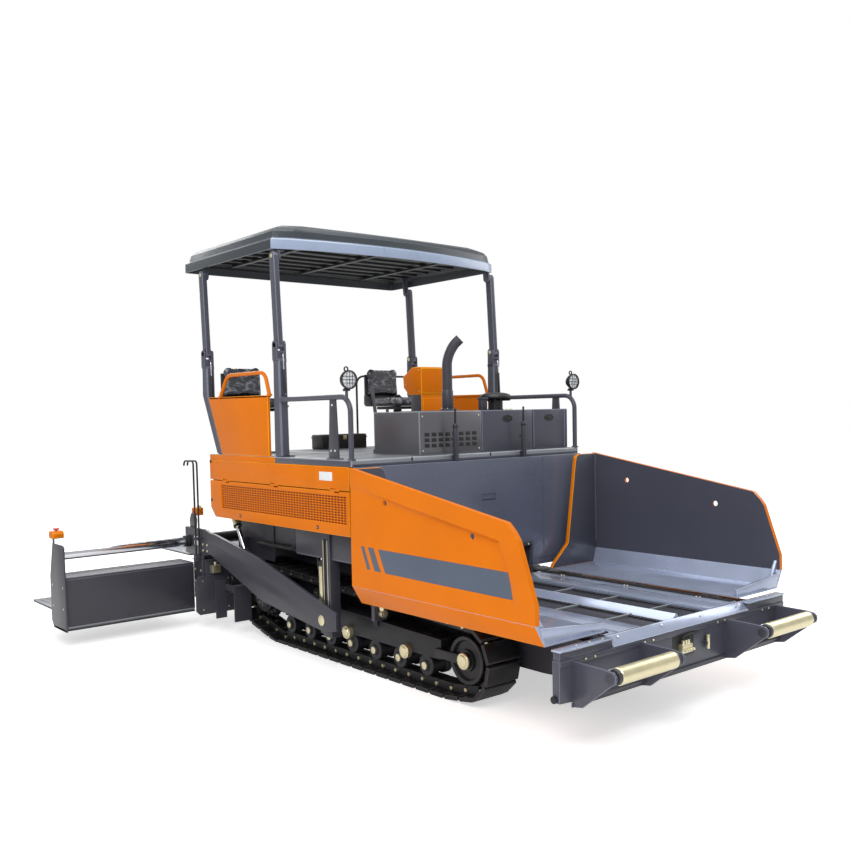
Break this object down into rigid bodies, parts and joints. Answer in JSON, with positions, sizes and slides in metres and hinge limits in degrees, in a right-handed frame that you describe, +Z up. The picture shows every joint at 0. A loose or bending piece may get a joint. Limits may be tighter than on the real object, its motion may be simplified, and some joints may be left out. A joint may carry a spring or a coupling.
{
  "type": "tracked asphalt paver",
  "caption": "Tracked asphalt paver with folding hopper wings, tow arms and sliding screed extensions, augers, engine hood and a folding operator's canopy.",
  "frame": {"origin": "middle of the bounding box, on the ground under the tracks", "axes": "+X forwards to the hopper and push rollers, +Y to the machine's left, +Z up"},
  "size_m": [6.3559, 5.09, 3.806],
  "materials": {
    "body_orange": "glossy orange paint, lightly dusty",
    "frame_grey": "satin blue-grey paint",
    "dark_grey": "satin dark grey paint",
    "canopy_grey": "satin slate paint",
    "track_rubber": "matt black, dusty",
    "wheel_iron": "dark painted castings with plated caps",
    "zinc": "yellowish zinc plate",
    "chrome": "bright ground chrome",
    "deck_plate": "worn grey plate",
    "engine_iron": "dark cast iron",
    "seat_black": "black vinyl under a clear film",
    "black_plastic": "matt black"
  },
  "bodies": {
    "machine": {"air_precleaner": "black_plastic", "auger_hanger": "dark_grey", "chassis_frame": "dark_grey", "control_console": "body_orange", "deck_fittings": "black_plastic", "engine_bay": "dark_grey", "engine_block": "engine_iron", "engine_hood": "frame_grey", "exhaust_stack": "dark_grey", "frame_plates": "dark_grey", "front_bumper": "dark_grey", "handrails": "frame_grey", "hopper_floor": "dark_grey", "hopper_rear_wall": "frame_grey", "levelling_cylinders": "zinc", "limiting_plates": "dark_grey", "lower_posts": "frame_grey", "operator_deck": "deck_plate", "operator_seats": "seat_black", "panel_outriggers": "dark_grey", "screed_brackets": "dark_grey", "side_guards": "body_orange", "side_panels": "body_orange", "track_left": "track_rubber", "track_right": "track_rubber", "undercarriage_left": "wheel_iron", "undercarriage_right": "wheel_iron", "work_lamps": "black_plastic"},
    "front_posts": {"front_canopy_posts": "frame_grey"},
    "rear_posts": {"rear_canopy_posts": "frame_grey"},
    "roof": {"canopy_roof": "canopy_grey"},
    "screed": {"tow_arms": "dark_grey", "main_screed": "frame_grey", "guide_sleeves": "dark_grey", "screed_walkway": "deck_plate"},
    "lid": {"hood_lid": "frame_grey"},
    "wing_left": {"hopper_wing_left": "body_orange", "wing_end_plates_left": "body_orange"},
    "wing_barrel_left": {"wing_barrel_left": "zinc"},
    "wing_rod_left": {"wing_rod_left": "chrome"},
    "roller_left": {"push_roller_left": "zinc"},
    "door_left": {"side_door_left": "body_orange"},
    "lift_barrel_left": {"lift_barrel_left": "zinc"},
    "lift_rod_left": {"lift_rod_left": "chrome"},
    "extension_left": {"screed_extension_left": "frame_grey", "end_plate_left": "dark_grey"},
    "auger_left": {"auger_left": "dark_grey"},
    "wing_right": {"hopper_wing_right": "body_orange", "wing_end_plates_right": "body_orange"},
    "wing_barrel_right": {"wing_barrel_right": "zinc"},
    "wing_rod_right": {"wing_rod_right": "chrome"},
    "roller_right": {"push_roller_right": "zinc"},
    "door_right": {"side_door_right": "body_orange"},
    "lift_barrel_right": {"lift_barrel_right": "zinc"},
    "lift_rod_right": {"lift_rod_right": "chrome"},
    "extension_right": {"screed_extension_right": "frame_grey", "end_plate_right": "dark_grey"},
    "auger_right": {"auger_right": "dark_grey"}
  },
  "joints": [
    {"name": "wing_fold_left", "type": "hinge", "parent": "machine", "child": "wing_left", "pos_m": [1.712, 0.776, 0.668], "axis": [1, 0, 0], "range_deg": [0, 50]},
    {"name": "wing_barrel_pivot_left", "type": "hinge", "parent": "machine", "child": "wing_barrel_left", "pos_m": [0.786, 1.09, 0.56], "axis": [1, 0, 0], "range_deg": [0, 40.5]},
    {"name": "wing_rod_slide_left", "type": "slide", "parent": "wing_barrel_left", "child": "wing_rod_left", "axis": [0, 0.1437, 0.9896], "range_m": [0, 0.2569]},
    {"name": "lift_barrel_pivot_left", "type": "hinge", "parent": "machine", "child": "lift_barrel_left", "pos_m": [-1.628, 1.175, 1.5], "axis": [0, -1, 0], "range_deg": [-5.2, 13.7]},
    {"name": "lift_rod_slide_left", "type": "slide", "parent": "lift_barrel_left", "child": "lift_rod_left", "axis": [0.4977, 0, -0.8673], "range_m": [-0.1213, 0.0461]},
    {"name": "extension_slide_left", "type": "slide", "parent": "screed", "child": "extension_left", "axis": [0, -1, 0], "range_m": [0, 1.2]},
    {"name": "door_hinge_left", "type": "hinge", "parent": "machine", "child": "door_left", "pos_m": [-0.498, 1.296, 1.527], "axis": [1, 0, 0], "range_deg": [0, 80]},
    {"name": "roller_spin_left", "type": "hinge", "parent": "machine", "child": "roller_left", "pos_m": [3.123, 0.8285, 0.537], "axis": [0, 1, 0], "continuous": true},
    {"name": "auger_spin_left", "type": "hinge", "parent": "machine", "child": "auger_left", "pos_m": [-1.836, 0.6, 0.4], "axis": [0, 1, 0], "continuous": true},
    {"name": "wing_fold_right", "type": "hinge", "parent": "machine", "child": "wing_right", "pos_m": [1.712, -0.776, 0.668], "axis": [-1, 0, 0], "range_deg": [0, 50]},
    {"name": "wing_barrel_pivot_right", "type": "hinge", "parent": "machine", "child": "wing_barrel_right", "pos_m": [0.786, -1.09, 0.56], "axis": [-1, 0, 0], "range_deg": [0, 40.5]},
    {"name": "wing_rod_slide_right", "type": "slide", "parent": "wing_barrel_right", "child": "wing_rod_right", "axis": [0, -0.1437, 0.9896], "range_m": [0, 0.2569]},
    {"name": "lift_barrel_pivot_right", "type": "hinge", "parent": "machine", "child": "lift_barrel_right", "pos_m": [-1.628, -1.175, 1.5], "axis": [0, -1, 0], "range_deg": [-5.2, 13.7]},
    {"name": "lift_rod_slide_right", "type": "slide", "parent": "lift_barrel_right", "child": "lift_rod_right", "axis": [0.4977, 0, -0.8673], "range_m": [-0.1213, 0.0461]},
    {"name": "extension_slide_right", "type": "slide", "parent": "screed", "child": "extension_right", "axis": [0, 1, 0], "range_m": [0, 1.2]},
    {"name": "door_hinge_right", "type": "hinge", "parent": "machine", "child": "door_right", "pos_m": [-0.498, -1.296, 1.527], "axis": [-1, 0, 0], "range_deg": [0, 80]},
    {"name": "roller_spin_right", "type": "hinge", "parent": "machine", "child": "roller_right", "pos_m": [3.123, -0.8285, 0.537], "axis": [0, 1, 0], "continuous": true},
    {"name": "auger_spin_right", "type": "hinge", "parent": "machine", "child": "auger_right", "pos_m": [-1.836, -0.6, 0.4], "axis": [0, 1, 0], "continuous": true},
    {"name": "screed_lift", "type": "hinge", "parent": "machine", "child": "screed", "pos_m": [0.152, 0, 0.43], "axis": [0, 1, 0], "range_deg": [-3, 8]},
    {"name": "canopy_fold", "type": "hinge", "parent": "machine", "child": "front_posts", "pos_m": [-0.388, 0, 2.73], "axis": [0, -1, 0], "range_deg": [0, 80]},
    {"name": "canopy_rear_posts", "type": "hinge", "parent": "machine", "child": "rear_posts", "pos_m": [-1.728, 0, 2.73], "axis": [0, -1, 0], "range_deg": [0, 80]},
    {"name": "canopy_roof_pivot", "type": "hinge", "parent": "front_posts", "child": "roof", "pos_m": [-0.428, 0, 3.49], "axis": [0, -1, 0], "range_deg": [-80, 0]},
    {"name": "hood_lid_hinge", "type": "hinge", "parent": "machine", "child": "lid", "pos_m": [0.002, 0.975, 2.138], "axis": [0, -1, 0], "range_deg": [0, 75]}
  ],
  "couplings": [
    {"joint": "wing_barrel_pivot_left", "follows": "wing_fold_left", "ratio": 0.80444},
    {"joint": "wing_rod_slide_left", "follows": "wing_fold_left", "m_per_rad": 0.29321},
    {"joint": "lift_barrel_pivot_left", "follows": "screed_lift", "ratio": 1.6816},
    {"joint": "lift_rod_slide_left", "follows": "screed_lift", "m_per_rad": -0.86157},
    {"joint": "wing_barrel_pivot_right", "follows": "wing_fold_right", "ratio": 0.80444},
    {"joint": "wing_rod_slide_right", "follows": "wing_fold_right", "m_per_rad": 0.29321},
    {"joint": "lift_barrel_pivot_right", "follows": "screed_lift", "ratio": 1.6816},
    {"joint": "lift_rod_slide_right", "follows": "screed_lift", "m_per_rad": -0.86157},
    {"joint": "canopy_rear_posts", "follows": "canopy_fold", "ratio": 1},
    {"joint": "canopy_roof_pivot", "follows": "canopy_fold", "ratio": -1}
  ]
}
